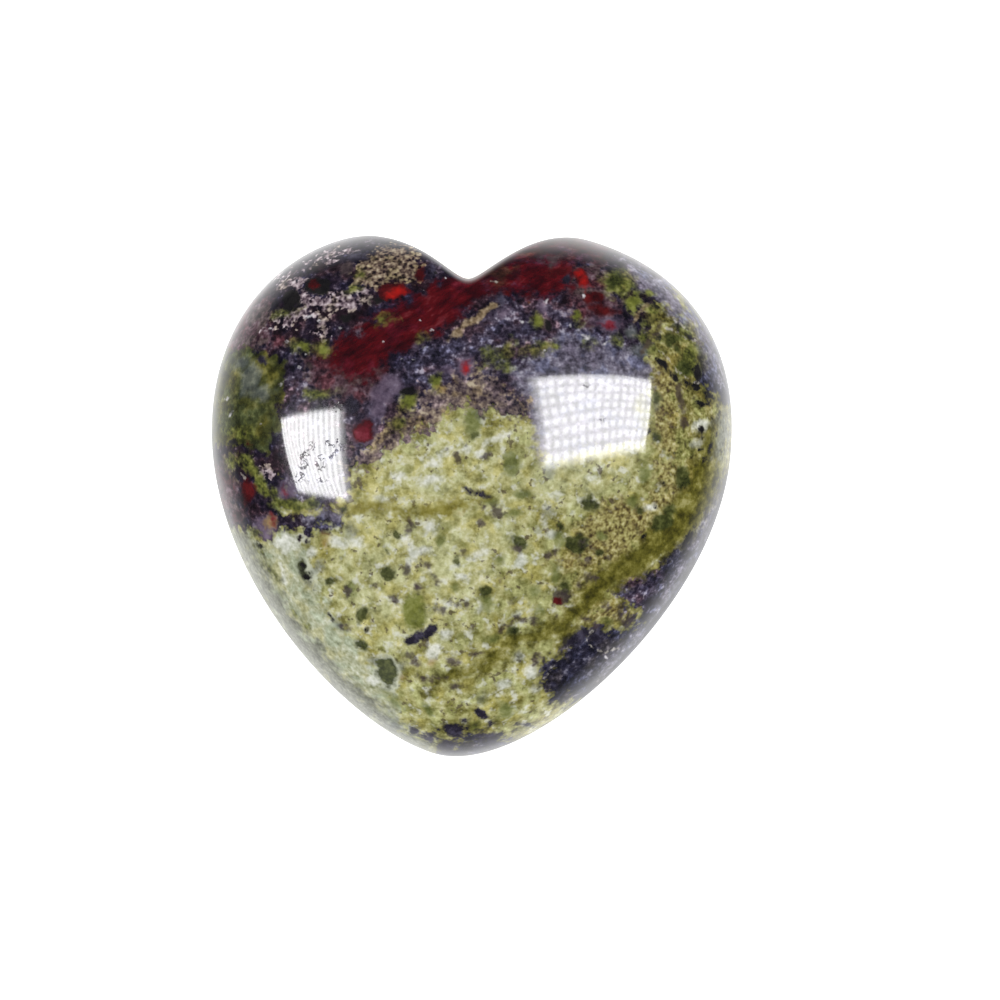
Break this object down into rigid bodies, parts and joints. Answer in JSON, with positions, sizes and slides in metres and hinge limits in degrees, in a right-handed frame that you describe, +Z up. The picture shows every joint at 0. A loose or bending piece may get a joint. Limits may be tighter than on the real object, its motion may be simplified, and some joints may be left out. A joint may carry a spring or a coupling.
{
  "type": "polished dragon blood jasper heart",
  "caption": "Palm-sized puffed heart of polished dragon blood jasper, domed on both faces and resting on its back.",
  "frame": {"origin": "on the surface the heart lies on, under the middle of its outline's box", "axes": "+Z up out of the front dome, +Y from the heart's point to its notch, +X to the right seen from above"},
  "size_m": [0.04, 0.04, 0.02],
  "materials": {
    "polished_jasper": "glossy polish; yellow-green epidote mass with a dark red band, indigo patches, red spots and dark green crystals"
  },
  "bodies": {
    "root": {"heart": "polished_jasper"}
  },
  "joints": []
}
